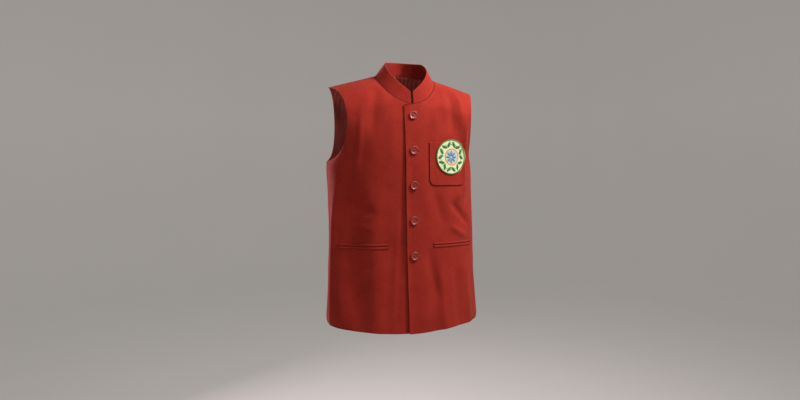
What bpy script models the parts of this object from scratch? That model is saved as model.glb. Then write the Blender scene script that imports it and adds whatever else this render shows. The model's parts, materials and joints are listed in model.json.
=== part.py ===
"""Nehru jacket: a sleeveless jacket with a band collar, filled out as if worn, with no wearer.

Metres, +Z up. The front faces -Y and the wearer's left side is +X. The origin lies on the median plane,
midway between the neck ends of the two shoulder seams, where the shoulders of a wearer or a bust hold the
jacket up.

Each half of the front and of the back is a set of courses, one above the other. A course starts at the
middle edge (the centre line, then the neckline) and runs out round a soft corner to the outer edge (the side
seam, then the armhole). Halves are worked out in the wearer's left half, and mirrored for the right.
"""

import math
from collections import namedtuple

import bmesh
import bpy
import numpy as np
from mathutils import Matrix, Vector
from mathutils.bvhtree import BVHTree

# Cloth walls and clearances
SHELL_WALL = 0.0020
COLLAR_WALL = 0.0028
LINING_WALL = 0.0010
PATCH_WALL = 0.0014
SEAM_GAP = 0.0004
COLLAR_SEAM_GAP = 0.0010
REST_GAP = 0.0008

# Heights of the landmarks
HEM_Z = -0.695
HEM_RISE = 0.009
HEM_RISE_WIDTH = 0.22
HEM_RISE_HEIGHT = 0.25
HEM_SIDE_RISE = {"left": 0.003, "right": 0.013}
HEM_SIDE_SHARPNESS = 4
UNDERARM_Z = -0.241
VENT_TOP_Z = -0.560
VENT_OPENING = 0.0076
VENT_STEP = 0.0024
VENT_SHARPNESS = 8
NECK_PIT_Z = -0.086
NECK_NAPE_Z = 0.010

# The fronts lap left over right, past the centre line
LAP_AT_HEM = 0.0180
LAP_AT_NECK = 0.0240
LAP_LIFT = 0.0032
LAP_FADE = 0.050
LAP_SWING = 0.0025
LAP_SWING_TOP_Z = -0.45
LAP_SWING_HEIGHT = 0.25
LAP_CORNER_DROP = 0.005

# How far up a half each landmark lies: hem 0, shoulder seam 1
UNDERARM_LEVEL = 0.62
FRONT_PIT_LEVEL = 0.82
BACK_NAPE_LEVEL = 0.90

# Level sections of the body below the armholes. A corner of 0.7 makes an ellipse, and more makes a box
Section = namedtuple("Section", "z half_width side_y front_corner back_corner")
SECTIONS = [
    Section(-0.695, 0.217, -0.022, 0.84, 0.92),
    Section(-0.600, 0.212, -0.020, 0.84, 0.92),
    Section(-0.500, 0.210, -0.016, 0.82, 0.92),
    Section(-0.400, 0.208, -0.008, 0.84, 0.92),
    Section(-0.320, 0.210, 0.006, 0.90, 0.90),
    Section(-0.241, 0.212, 0.020, 0.94, 0.86),
]

# Profiles of the two centre lines
Profile = namedtuple("Profile", "z y")
CENTRE_FRONT = [
    Profile(-0.695, -0.130),
    Profile(-0.550, -0.119),
    Profile(-0.400, -0.113),
    Profile(-0.241, -0.112),
    Profile(-0.160, -0.108),
    Profile(-0.086, -0.098),
]
CENTRE_BACK = [
    Profile(-0.695, 0.146),
    Profile(-0.550, 0.137),
    Profile(-0.400, 0.132),
    Profile(-0.241, 0.148),
    Profile(-0.150, 0.140),
    Profile(-0.080, 0.114),
    Profile(-0.010, 0.062),
    Profile(0.010, 0.040),
]

# Edges as four-point curves, in the wearer's left half
FRONT_NECKLINE = [(0, -0.098, -0.086), (0.056, -0.098, -0.086), (0.102, -0.056, -0.006), (0.078, 0, 0)]
BACK_NECKLINE = [(0, 0.040, 0.010), (0.036, 0.040, 0.010), (0.066, 0.028, 0.003), (0.078, 0, 0)]
FRONT_ARMHOLE = [(0.212, 0.020, -0.241), (0.160, -0.118, -0.241), (0.166, -0.134, -0.046), (0.210, 0, -0.038)]
BACK_ARMHOLE = [(0.212, 0.020, -0.241), (0.160, 0.135, -0.241), (0.170, 0.100, -0.044), (0.210, 0, -0.038)]

# Where a course turns its corner, from the underarm up to the shoulder seam: shares of its run across and
# back, then how far the corner stands out from there
Corner = namedtuple("Corner", "level across back bulge weight")
FRONT_CORNERS = [
    Corner(0.62, 1.00, 0.00, 0.000, 0.94),
    Corner(0.70, 0.92, 0.00, 0.000, 0.94),
    Corner(0.78, 0.80, 0.00, 0.003, 0.94),
    Corner(0.86, 0.66, 0.15, 0.006, 0.96),
    Corner(0.93, 0.56, 0.40, 0.008, 1.00),
    Corner(1.00, 0.50, 0.50, 0.000, 1.00),
]
BACK_CORNERS = [
    Corner(0.62, 1.00, 0.00, 0.000, 0.86),
    Corner(0.70, 0.96, 0.00, 0.000, 0.86),
    Corner(0.78, 0.86, 0.00, 0.000, 0.88),
    Corner(0.86, 0.74, 0.06, 0.002, 0.92),
    Corner(0.93, 0.60, 0.28, 0.006, 0.98),
    Corner(1.00, 0.50, 0.50, 0.000, 1.00),
]

# The collar's top edge, in the wearer's left half
COLLAR_SIDE = (0.054, -0.023, 0.036)
COLLAR_TOP_FRONT = [(0, -0.093, -0.053), (0.026, -0.090, -0.040), (0.077, -0.067, 0.013), COLLAR_SIDE]
COLLAR_TOP_BACK = [(0, 0.032, 0.048), (0.030, 0.032, 0.048), (0.044, 0.008, 0.043), COLLAR_SIDE]
COLLAR_END = 0.0030

# The largest folds. Each runs from a to b, given by the length out from the centre line and the height, and
# stands out by its height, or sinks in where that is negative
Fold = namedtuple("Fold", "panel out_a z_a out_b z_b width height")
FOLDS = [
    Fold("front_right", 0.184, -0.230, 0.140, -0.680, 0.032, -0.0050),
    Fold("front_right", 0.228, -0.330, 0.218, -0.690, 0.018, 0.0035),
    Fold("front_right", 0.090, -0.540, 0.075, -0.700, 0.030, 0.0030),
    Fold("front_left", 0.120, -0.040, 0.105, -0.150, 0.020, -0.0030),
    Fold("front_left", 0.185, -0.360, 0.215, -0.420, 0.022, 0.0035),
    Fold("front_left", 0.110, -0.560, 0.130, -0.700, 0.028, 0.0035),
    Fold("front_left", 0.200, -0.510, 0.195, -0.700, 0.026, -0.0035),
    Fold("back_left", 0.125, -0.330, 0.135, -0.690, 0.030, -0.0040),
    Fold("back_right", 0.110, -0.370, 0.120, -0.690, 0.032, -0.0040),
    Fold("back_left", 0.195, -0.300, 0.205, -0.680, 0.024, 0.0030),
    Fold("back_right", 0.185, -0.330, 0.195, -0.680, 0.026, 0.0030),
    Fold("back_left", 0.040, -0.430, 0.045, -0.690, 0.028, 0.0025),
]

# Shares of a fold's run where it starts, is full, fades and is gone, and how near the edges it is flattened
FOLD_START = -0.2
FOLD_FULL = 0.3
FOLD_FADES = 0.9
FOLD_GONE = 1.3
FOLD_FREE_LEVEL = 0.08
FOLD_FREE_SIDE = 0.03

# Buttons, on the centre line. The profile runs from the back's middle round the rim to the dished front
BUTTON_COUNT = 5
FIRST_BUTTON_Z = -0.1195
BUTTON_PITCH = 0.0935
Turn = namedtuple("Turn", "radius height")
BUTTON_PROFILE = [
    Turn(0.0000, 0.0000),
    Turn(0.0092, 0.0000),
    Turn(0.0110, 0.0008),
    Turn(0.0115, 0.0019),
    Turn(0.0109, 0.0030),
    Turn(0.0097, 0.0035),
    Turn(0.0086, 0.0030),
    Turn(0.0076, 0.0022),
    Turn(0.0000, 0.0020),
]
BUTTON_SIDES = 20
THREAD_HOLE_RADIUS = 0.0010
THREAD_HOLE_SIDES = 6
THREAD_HOLE_SPREAD = 0.0021
DRILL_LENGTH = 0.0100

# Pockets. Each starts at its length out from the centre line
CHEST_POCKET_OUT = 0.044
CHEST_POCKET_WIDTH = 0.120
CHEST_POCKET_TOP_Z = -0.190
CHEST_POCKET_HEIGHT = 0.1165
CHEST_POCKET_CORNER = 0.016
HIP_POCKET_OUT = {"left": 0.056, "right": 0.070}
HIP_POCKET_Z = -0.467
HIP_POCKET_LENGTH = 0.134
HIP_LIP_HEIGHT = 0.0068
HIP_MOUTH = 0.0010

# Steps across a front, from the centre line, by which lengths out are measured
MARCH_STEP = 0.003
MARCH_END = 0.200

# The round badge, sewn on the chest pocket
BADGE_RADIUS = 0.0480
BADGE_OUT = 0.1130
BADGE_Z = -0.2290

# The lining that shows inside the back, a little above its hem, pleated under the neck
LINING_FIRST_ROW = 1
PLEATS_PER_HALF = 5
PLEAT_DEPTH = 0.0026
PLEAT_END_Z = -0.200

# Points that a course is measured by, and cells across and up the pieces
COURSE_SAMPLES = 97
SHELL_COLUMNS = 16
SHELL_ROWS = {"to_underarm": 12, "to_neck": 5, "to_shoulder": 7}
COLLAR_ROWS = 2
POCKET_COLUMNS = 10
POCKET_ROWS = {"round_corner": 3, "straight": 7}
BADGE_CELLS = 8
LIP_COLUMNS = 12
MERGE_DISTANCE = 1e-5
SHARP_ANGLE = math.radians(40)

# Colour and roughness of each material
Finish = namedtuple("Finish", "name colour roughness")
CLOTH = Finish("cloth", (0.400, 0.036, 0.026), 0.85)
SATIN = Finish("lining", (0.100, 0.026, 0.028), 0.55)
RESIN = Finish("button_resin", (0.380, 0.045, 0.034), 0.22)
TWILL = Finish("badge_twill", (0.720, 0.790, 0.420), 0.75)


def through(keys, values, at):
    """A smooth curve through the pairs of key and value, read at each number in at."""
    keys, values = np.asarray(keys, float), np.asarray(values, float)
    slopes = np.gradient(values, keys)
    cell = np.clip(np.searchsorted(keys, at, side="right") - 1, 0, len(keys) - 2)
    span = keys[cell + 1] - keys[cell]
    part = (at - keys[cell]) / span
    start = (1 + 2 * part) * (1 - part) ** 2 * values[cell] + part * (1 - part) ** 2 * span * slopes[cell]
    end = part**2 * (3 - 2 * part) * values[cell + 1] - part**2 * (1 - part) * span * slopes[cell + 1]
    return start + end


def read(table, key, column, at):
    """The smooth value of a table's column where its key column is at."""
    return float(through([getattr(row, key) for row in table], [getattr(row, column) for row in table], at))


def bezier(points, share):
    """The point at a share of a four-point curve."""
    a, b, c, d = (np.array(point, float) for point in points)
    rest = 1 - share
    return rest**3 * a + 3 * rest**2 * share * b + 3 * rest * share**2 * c + share**3 * d


def ease(share):
    """0 up to a share of 0, 1 from a share of 1, and smooth between."""
    share = np.clip(share, 0, 1)
    return share * share * (3 - 2 * share)


def normals(grid):
    """The unit normals of a grid of points, towards -Y where its rows run up and its columns run to +X."""
    normal = np.cross(np.gradient(grid, axis=1), np.gradient(grid, axis=0))
    return normal / np.linalg.norm(normal, axis=2, keepdims=True)


def course_ends(front, level):
    """The two ends of the course at a level, its corner, and the corner's weight."""
    neck_level = FRONT_PIT_LEVEL if front else BACK_NAPE_LEVEL
    neck_z = NECK_PIT_Z if front else NECK_NAPE_Z
    if level <= UNDERARM_LEVEL:
        z = HEM_Z + (UNDERARM_Z - HEM_Z) * level / UNDERARM_LEVEL
    else:
        z = UNDERARM_Z + (neck_z - UNDERARM_Z) * (level - UNDERARM_LEVEL) / (neck_level - UNDERARM_LEVEL)
    if level <= neck_level:
        middle = np.array([0, read(CENTRE_FRONT if front else CENTRE_BACK, "z", "y", z), z])
    else:
        middle = bezier(FRONT_NECKLINE if front else BACK_NECKLINE, (level - neck_level) / (1 - neck_level))
    if level <= UNDERARM_LEVEL:
        outer = np.array([read(SECTIONS, "z", "half_width", z), read(SECTIONS, "z", "side_y", z), z])
        corner = np.array([outer[0], middle[1], z])
        return middle, outer, corner, read(SECTIONS, "z", "front_corner" if front else "back_corner", z)
    outer = bezier(FRONT_ARMHOLE if front else BACK_ARMHOLE, (level - UNDERARM_LEVEL) / (1 - UNDERARM_LEVEL))
    corners = FRONT_CORNERS if front else BACK_CORNERS
    across, back, bulge, weight = (read(corners, "level", column, level) for column in Corner._fields[1:])
    corner = middle + (outer - middle) * np.array([across, back, 0.5])
    corner[1] += -bulge if front else bulge
    return middle, outer, corner, weight


def course(front, level, columns):
    """Evenly spaced points along a course, and how far out from its middle end each lies."""
    middle, outer, corner, weight = course_ends(front, level)
    share = np.linspace(0, 1, COURSE_SAMPLES)[:, None]
    parts = (1 - share) ** 2, 2 * weight * share * (1 - share), share**2
    line = (parts[0] * middle + parts[1] * corner + parts[2] * outer) / sum(parts)
    length = np.concatenate([[0], np.cumsum(np.linalg.norm(np.diff(line, axis=0), axis=1))])
    out = np.linspace(0, length[-1], columns + 1)
    return np.stack([np.interp(out, length, line[:, axis]) for axis in range(3)], axis=1), out


def courses(front, levels, columns):
    """The courses at some levels: a grid of points, and how far out each lies."""
    points, out = zip(*(course(front, level, columns) for level in levels))
    return np.array(points), np.array(out)


def levels_of(stops, counts):
    """Levels that run through some stops, with a count of even steps between each two."""
    runs = [np.linspace(stops[k], stops[k + 1], count + 1)[:-1] for k, count in enumerate(counts)]
    return np.concatenate(runs + [[stops[-1]]])


def fold_height(panel, out, z):
    """How far the folds of a panel raise it, at a length out from the centre line and a height."""
    height = np.zeros_like(out)
    for fold in FOLDS:
        if fold.panel != panel:
            continue
        run = np.array([fold.out_b - fold.out_a, fold.z_b - fold.z_a])
        along = ((out - fold.out_a) * run[0] + (z - fold.z_a) * run[1]) / (run @ run)
        aside = ((out - fold.out_a) * run[1] - (z - fold.z_a) * run[0]) / math.sqrt(run @ run)
        starts = ease((along - FOLD_START) / (FOLD_FULL - FOLD_START))
        ends = ease((FOLD_GONE - along) / (FOLD_GONE - FOLD_FADES))
        height += fold.height * starts * ends * np.exp(-((aside / fold.width) ** 2))
    return height


def half_wall(panel, front):
    """The outer and the inner face of half a front or back, in the wearer's left half."""
    neck_level = FRONT_PIT_LEVEL if front else BACK_NAPE_LEVEL
    levels = levels_of([0, UNDERARM_LEVEL, neck_level, 1], SHELL_ROWS.values())
    away = -1 if front else 1
    grid, out = courses(front, levels, SHELL_COLUMNS)
    free = ease((1 - levels) / FOLD_FREE_LEVEL)[:, None] * ease((out[:, -1:] - out) / FOLD_FREE_SIDE)
    grid -= normals(grid) * (away * fold_height(panel, out, grid[:, :, 2]) * free)[:, :, None]

    if front:
        widths = np.interp(levels, [0, neck_level], [LAP_AT_HEM, LAP_AT_NECK])
        lap = [(-wide, np.interp(wide, row[:, 0], row[:, 1]), row[0, 2]) for wide, row in zip(widths, grid)]
        grid = np.concatenate([np.array(lap)[:, None], grid], axis=1)
        grid[:, 0, 2] -= LAP_CORNER_DROP * ease((levels - UNDERARM_LEVEL) / (neck_level - UNDERARM_LEVEL))
    if panel == "front_left":
        lift = LAP_LIFT + LAP_SWING * ease((LAP_SWING_TOP_Z - grid[:, :, 2]) / LAP_SWING_HEIGHT)
        grid[:, :, 1] -= lift * (1 - ease((grid[:, :, 0] - LAP_AT_HEM) / LAP_FADE))

    low = levels <= UNDERARM_LEVEL
    across = np.linspace(0, 1, grid.shape[1])
    vent = ease((VENT_TOP_Z - grid[:, -1:, 2]) / (VENT_TOP_Z - HEM_Z)) * across**VENT_SHARPNESS
    grid[:, :, 1] += away * vent * VENT_OPENING / 2
    grid[:, :, 0] += vent * VENT_STEP * front
    near_hem = ease((HEM_Z + HEM_RISE_HEIGHT - grid[:, :, 2]) / HEM_RISE_HEIGHT)
    side_rise = HEM_SIDE_RISE[panel.split("_")[1]] * across**HEM_SIDE_SHARPNESS
    grid[:, :, 2] += (HEM_RISE * ease(grid[:, :, 0] / HEM_RISE_WIDTH) + side_rise) * near_hem

    normal = -away * normals(grid)
    if not front:
        normal[levels <= neck_level, 0, 0] = 0
    normal[low, -1, 1] = 0
    normal[-1, :, 1] = 0
    normal /= np.linalg.norm(normal, axis=2, keepdims=True)
    grid[low, -1, 1] += away * SEAM_GAP / 2
    grid[-1, :, 1] += away * SEAM_GAP / 2
    return grid, grid - normal * SHELL_WALL


def mirrored(grid):
    """A grid of points, moved to the wearer's right half."""
    return grid * np.array([-1, 1, 1])


def painted(finish):
    """The material of a finish, made once."""
    material = bpy.data.materials.get(finish.name)
    if material is None:
        material = bpy.data.materials.new(finish.name)
        material.use_nodes = True
        shader = material.node_tree.nodes["Principled BSDF"]
        shader.inputs["Base Color"].default_value = (*finish.colour, 1)
        shader.inputs["Roughness"].default_value = finish.roughness
        shader.inputs["Metallic"].default_value = 0
    return material


def placed(name, mesh, finish):
    """An object of a mesh, in the scene."""
    if not mesh.materials:
        mesh.materials.append(painted(finish))
    made = bpy.data.objects.new(name, mesh)
    bpy.context.scene.collection.objects.link(made)
    return made


def cloth(name, walls, finish, notch=None):
    """A closed wall of cloth between two faces, each of one or two grids of points that meet.

    The wall lacks the corner of points that notch picks.
    """
    form = bmesh.new()
    for face in walls:
        made = []
        for grid in face:
            rows, columns = grid.shape[:2]
            verts = bmesh.ops.create_grid(form, x_segments=columns - 1, y_segments=rows - 1)["verts"]
            for vert, point in zip(verts, grid.reshape(-1, 3)):
                vert.co = point
            if notch:
                first_row, wide = notch
                cut = [verts[row * columns + k] for row in range(first_row, rows) for k in range(wide)]
                bmesh.ops.delete(form, geom=cut, context="VERTS")
            made += [vert for vert in verts if vert.is_valid]
        bmesh.ops.remove_doubles(form, verts=made, dist=MERGE_DISTANCE)
    bmesh.ops.bridge_loops(form, edges=[edge for edge in form.edges if edge.is_boundary])
    bmesh.ops.recalc_face_normals(form, faces=form.faces)
    mesh = bpy.data.meshes.new(name)
    form.to_mesh(mesh)
    form.free()
    mesh.shade_smooth()
    mesh.set_sharp_from_angle(angle=SHARP_ANGLE)
    return placed(name, mesh, finish)


def build_front(name):
    """A front, with its lap past the centre line up to the neck."""
    walls = half_wall(name, True)
    if name == "front_right":
        walls = [mirrored(grid) for grid in walls]
    neck_row = SHELL_ROWS["to_underarm"] + SHELL_ROWS["to_neck"]
    return cloth(name, [[grid] for grid in walls], CLOTH, notch=(neck_row + 1, 1))


def build_back():
    """The back, in one piece from side seam to side seam."""
    left, right = half_wall("back_left", False), half_wall("back_right", False)
    return cloth("back", [[a, mirrored(b)] for a, b in zip(left, right)], CLOTH)


def build_lining():
    """The lining of the back, made from the back's inner face.

    Its pleats hang from the neck and fade out between the shoulder blades.
    """
    faces = []
    for side, panel in ((1, "back_left"), (-1, "back_right")):
        outer, inner = half_wall(panel, False)
        normal = (outer - inner) / SHELL_WALL
        pleated = np.zeros(inner.shape[:2])
        pleated[:, 1 : 2 * PLEATS_PER_HALF : 2] = PLEAT_DEPTH
        pleated *= ease((inner[:, :, 2] - PLEAT_END_Z) / (0 - PLEAT_END_Z))
        near = inner - normal * (REST_GAP + pleated)[:, :, None]
        near[:, -1, 0] -= SEAM_GAP
        far = near - normal * LINING_WALL
        faces.append([grid[LINING_FIRST_ROW:-1] * [side, 1, 1] for grid in (near, far)])
    return cloth("lining_back", list(zip(*faces)), SATIN)


def build_collar():
    """The band collar, from one end at the centre front round the nape to the other."""
    shares = np.linspace(0, 1, SHELL_ROWS["to_shoulder"] + 1)
    lines = [(bezier(FRONT_NECKLINE, share), bezier(COLLAR_TOP_FRONT, share)) for share in shares]
    lines += [(bezier(BACK_NECKLINE, share), bezier(COLLAR_TOP_BACK, share)) for share in shares[-2::-1]]
    columns = []
    for base, top in lines:
        start = base + (top - base) / np.linalg.norm(top - base) * COLLAR_SEAM_GAP
        columns.append([start + (top - start) * share for share in np.linspace(0, 1, COLLAR_ROWS + 1)])
    left = np.array(columns).swapaxes(0, 1)
    left[:, 0, 0] = COLLAR_END
    right = mirrored(left)
    in_front = left[:, :, 1] < 0
    left[:, :, 1] -= LAP_LIFT * (1 - ease((left[:, :, 0] - LAP_AT_HEM) / LAP_FADE)) * in_front
    grid = np.concatenate([left, right[:, -2::-1]], axis=1)
    return cloth("collar", [[grid], [grid - normals(grid) * COLLAR_WALL]], CLOTH)


class Front:
    """The outer face of a finished front, on which flat pieces are laid."""

    def __init__(self, made, side):
        self.tree = BVHTree.FromObject(made, bpy.context.evaluated_depsgraph_get())
        self.side = side

    def touch(self, x, z):
        """The point and the outward normal of the face straight in front of x and z."""
        point, normal, _, _ = self.tree.ray_cast(Vector((x, -1, z)), Vector((0, 1, 0)))
        return point, normal

    def point(self, out, z):
        """The point of the face at a height and at a length out from the centre line."""
        across = np.arange(0, MARCH_END, MARCH_STEP)
        line = [self.touch(self.side * x, z)[0] for x in across]
        line = np.array([point for point in line if point is not None])
        length = np.concatenate([[0], np.cumsum(np.linalg.norm(np.diff(line, axis=0), axis=1))])
        return np.array(self.touch(self.side * np.interp(out, length, across[: len(line)]), z)[0])

    def laid(self, name, flat, lift, finish):
        """A flat piece, given by the length out and the height of each of its points, laid on the face."""
        grid = np.array([[self.point(out, z) for out, z in row] for row in flat])
        normal = normals(grid) * self.side
        return cloth(name, [[grid + normal * (lift + PATCH_WALL)], [grid + normal * lift]], finish)


def build_chest_pocket(front):
    """The patch pocket on the chest, with round lower corners."""
    turn = np.linspace(0, math.pi / 2, POCKET_ROWS["round_corner"] + 1)
    inset = CHEST_POCKET_CORNER * (1 - np.sin(turn))
    height = CHEST_POCKET_CORNER * (1 - np.cos(turn))
    straight = np.linspace(CHEST_POCKET_CORNER, CHEST_POCKET_HEIGHT, POCKET_ROWS["straight"] + 1)[1:]
    inset = np.concatenate([inset, np.zeros_like(straight)])
    height = np.concatenate([height, straight]) + CHEST_POCKET_TOP_Z - CHEST_POCKET_HEIGHT
    across = np.linspace(0, 1, POCKET_COLUMNS + 1)
    out = CHEST_POCKET_OUT + inset[:, None] + (CHEST_POCKET_WIDTH - 2 * inset[:, None]) * across
    flat = np.stack([out, np.broadcast_to(height[:, None], out.shape)], axis=2)
    return front.laid("chest_pocket", flat, REST_GAP, CLOTH)


def build_badge(front):
    """The round badge, a square of cells drawn out to a circle, on the chest pocket."""
    line = np.linspace(-1, 1, BADGE_CELLS + 1)
    across, up = np.meshgrid(line, line)
    out = BADGE_OUT + BADGE_RADIUS * across * np.sqrt(1 - up**2 / 2)
    z = BADGE_Z + BADGE_RADIUS * up * np.sqrt(1 - across**2 / 2)
    return front.laid("badge", np.stack([out, z], axis=2), PATCH_WALL + 2 * REST_GAP, TWILL)


def build_hip_pocket(front, side_name):
    """The two lips of a hip pocket, above and below its mouth."""
    out = HIP_POCKET_OUT[side_name] + np.linspace(0, HIP_POCKET_LENGTH, LIP_COLUMNS + 1)
    for lip, start in (("upper", HIP_MOUTH / 2), ("lower", -HIP_MOUTH / 2 - HIP_LIP_HEIGHT)):
        z = HIP_POCKET_Z + start + np.array([0, HIP_LIP_HEIGHT])
        flat = np.stack(np.meshgrid(out, z), axis=2)
        front.laid(f"hip_pocket_{side_name}_{lip}", flat, REST_GAP, CLOTH)


def button_mesh():
    """A turned button with a raised rim and four thread holes, its back on z 0."""
    form = bmesh.new()
    verts = [form.verts.new((turn.radius, 0, turn.height)) for turn in BUTTON_PROFILE]
    edges = [form.edges.new(pair) for pair in zip(verts, verts[1:])]
    bmesh.ops.spin(
        form,
        geom=verts + edges,
        cent=(0, 0, 0),
        axis=(0, 0, 1),
        angle=2 * math.pi,
        steps=BUTTON_SIDES,
        use_merge=True,
    )
    bmesh.ops.remove_doubles(form, verts=form.verts, dist=MERGE_DISTANCE)
    bmesh.ops.recalc_face_normals(form, faces=form.faces)
    blank = bpy.data.meshes.new("button_blank")
    form.to_mesh(blank)
    form.free()

    form = bmesh.new()
    for x, y in ((1, 1), (1, -1), (-1, 1), (-1, -1)):
        bmesh.ops.create_cone(
            form,
            cap_ends=True,
            segments=THREAD_HOLE_SIDES,
            radius1=THREAD_HOLE_RADIUS,
            radius2=THREAD_HOLE_RADIUS,
            depth=DRILL_LENGTH,
            matrix=Matrix.Translation((x * THREAD_HOLE_SPREAD, y * THREAD_HOLE_SPREAD, 0)),
        )
    drill_mesh = bpy.data.meshes.new("drill")
    form.to_mesh(drill_mesh)
    form.free()

    button, drill = placed("button_blank", blank, RESIN), placed("drill", drill_mesh, RESIN)
    cut = button.modifiers.new("thread_holes", "BOOLEAN")
    cut.object = drill
    cut.operation = "DIFFERENCE"
    mesh = bpy.data.meshes.new_from_object(button.evaluated_get(bpy.context.evaluated_depsgraph_get()))
    mesh.name = "button"
    mesh.shade_smooth()
    mesh.set_sharp_from_angle(angle=SHARP_ANGLE)
    bpy.data.objects.remove(button)
    bpy.data.objects.remove(drill)
    return mesh


def build_buttons(front):
    """The buttons, each flat on the left front."""
    mesh = button_mesh()
    for number in range(BUTTON_COUNT):
        point, normal = front.touch(0, FIRST_BUTTON_Z - number * BUTTON_PITCH)
        button = placed(f"button_{number + 1}", mesh, RESIN)
        button.location = point + normal * REST_GAP
        button.rotation_euler = normal.to_track_quat("Z", "Y").to_euler()


def clear_scene():
    """Empties the scene."""
    for old in list(bpy.data.objects):
        bpy.data.objects.remove(old)


def main():
    """Builds every piece."""
    clear_scene()
    left = Front(build_front("front_left"), 1)
    right = Front(build_front("front_right"), -1)
    build_back()
    build_lining()
    build_collar()
    build_chest_pocket(left)
    build_badge(left)
    build_hip_pocket(left, "left")
    build_hip_pocket(right, "right")
    build_buttons(left)


main()
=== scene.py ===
"""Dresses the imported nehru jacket: creased cloth panels, lining, collar, pockets, badge, buttons and sewing.

Metres, +Z up. The front faces -Y and the wearer's left side is +X. Every cloth piece starts as a copy of the
outer face of its CAD wall, is made fine, gets a flat map in metres (u out from the centre line, v up the
cloth), is creased along its normals, and then gets its thickness back. What lies on a front is set on the
creased cloth.
"""

from __future__ import annotations

import json
import logging
import math
from collections.abc import Callable, Iterable, Sequence
from dataclasses import dataclass, field
from enum import Enum
from typing import Any

import bmesh
import bpy
import numpy as np
from mathutils import Matrix, Vector
from mathutils.bvhtree import BVHTree
from mathutils.kdtree import KDTree

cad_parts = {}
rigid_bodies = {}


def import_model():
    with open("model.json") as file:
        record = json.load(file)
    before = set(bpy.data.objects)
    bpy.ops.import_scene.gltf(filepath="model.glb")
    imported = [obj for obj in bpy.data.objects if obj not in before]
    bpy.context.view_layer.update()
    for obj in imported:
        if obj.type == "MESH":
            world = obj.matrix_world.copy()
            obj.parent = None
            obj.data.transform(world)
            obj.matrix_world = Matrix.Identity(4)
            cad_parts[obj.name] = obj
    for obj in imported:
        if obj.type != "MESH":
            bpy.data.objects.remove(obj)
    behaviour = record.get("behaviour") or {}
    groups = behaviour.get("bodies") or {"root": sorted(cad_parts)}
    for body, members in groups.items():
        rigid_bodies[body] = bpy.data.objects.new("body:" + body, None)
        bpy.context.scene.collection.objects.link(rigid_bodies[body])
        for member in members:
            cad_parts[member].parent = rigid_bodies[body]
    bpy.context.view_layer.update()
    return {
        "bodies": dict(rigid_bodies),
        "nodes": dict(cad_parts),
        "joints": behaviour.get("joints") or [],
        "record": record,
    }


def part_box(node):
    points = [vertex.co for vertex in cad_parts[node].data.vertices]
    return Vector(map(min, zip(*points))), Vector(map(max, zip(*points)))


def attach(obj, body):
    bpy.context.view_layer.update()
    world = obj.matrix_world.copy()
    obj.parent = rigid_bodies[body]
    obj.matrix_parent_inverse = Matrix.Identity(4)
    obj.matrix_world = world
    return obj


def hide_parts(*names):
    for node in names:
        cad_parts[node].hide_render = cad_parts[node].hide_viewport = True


LOG = logging.getLogger("nehru_jacket")
BODY = "root"
MERGE_DISTANCE = 1e-5
MILLIMETRES = 1000
CORNER_TURN = math.radians(40)

# Which border points of a front or the back are in its side, shoulder and neck seams
SIDE_X = 0.17
SHOULDER_BAND = 0.003
NECK_REACH = 0.088
UNDERARM_Z = -0.245
NECK_PIT_Z = -0.093
SHOULDER_TIP_Z = -0.045

# How creases fade near a border that stays, how far up the free hem reaches, and the pressed side seam
STILL_EDGE = 0.002
STILL_FADE = 0.018
HEM_REACH = 0.024
DITCH_WIDTH = 0.0070
DITCH_FADE = 0.03

# A face is at a wall's end if one of its edges is shorter than this many thicknesses of the wall
END_FACE_SHARE = 1.25

# The wall's outer face looks away from a hub, on the middle plane and no higher than the chest
HUB_Y = -0.01
HUB_TOP_Z = -0.12

# Taller cells are cut once more, and edges are rounded by a share of the thickness where they turn
TALL_CELL = 0.0062
ROUNDED_SHARE = 0.42
ROUNDED_TURN = 50

MAP_NAME = "cut"
EDGE_NAME = "edge"
SEAM_NAME = "seam"

Colour = tuple[float, float, float]
Spot = tuple[float, float]
Object = bpy.types.Object
Mesh = bpy.types.Mesh
Material = bpy.types.Material
BMesh = bmesh.types.BMesh


def ease(share: np.ndarray | float) -> np.ndarray:
    """0 up to a share of 0, 1 from a share of 1, and smooth between."""
    share = np.clip(share, 0, 1)
    return share * share * (3 - 2 * share)


class Wire:
    """A value in a shader, with the operators of plain arithmetic."""

    def __init__(self, shader: Shader, socket: bpy.types.NodeSocket) -> None:
        """Wraps a socket of a shader's node."""
        self.shader = shader
        self.socket = socket

    def join(self, operation: str, first: Any, second: Any = None) -> Wire:
        """Adds a Math node.

        Args:
            operation: The node's operation.
            first: Its first value.
            second: Its second value, if it takes one.

        Returns:
            The result.
        """
        values = {0: first} if second is None else {0: first, 1: second}
        return self.shader.node("ShaderNodeMath", {"operation": operation}, values)

    def __add__(self, other: Wire | float) -> Wire:
        """The sum."""
        return self.join("ADD", self, other)

    __radd__ = __add__

    def __sub__(self, other: Wire | float) -> Wire:
        """The difference."""
        return self.join("SUBTRACT", self, other)

    def __rsub__(self, other: float) -> Wire:
        """The difference from a number."""
        return self.join("SUBTRACT", other, self)

    def __mul__(self, other: Wire | float) -> Wire:
        """The product."""
        return self.join("MULTIPLY", self, other)

    __rmul__ = __mul__

    def __truediv__(self, other: Wire | float) -> Wire:
        """The quotient."""
        return self.join("DIVIDE", self, other)

    def wave(self, length: float) -> Wire:
        """A sine of this value from 0 to 1, with a length in the value's own unit."""
        return self.join("SINE", self * (2 * math.pi / length)) * 0.5 + 0.5

    def size(self) -> Wire:
        """The value without its sign."""
        return self.join("ABSOLUTE", self)

    def within(self, low: float, high: float) -> Wire:
        """0 at low, 1 at high, smooth between and held beyond."""
        sockets = {"Value": self, "From Min": low, "From Max": high}
        return self.shader.node("ShaderNodeMapRange", {"interpolation_type": "SMOOTHSTEP"}, sockets)


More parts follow.
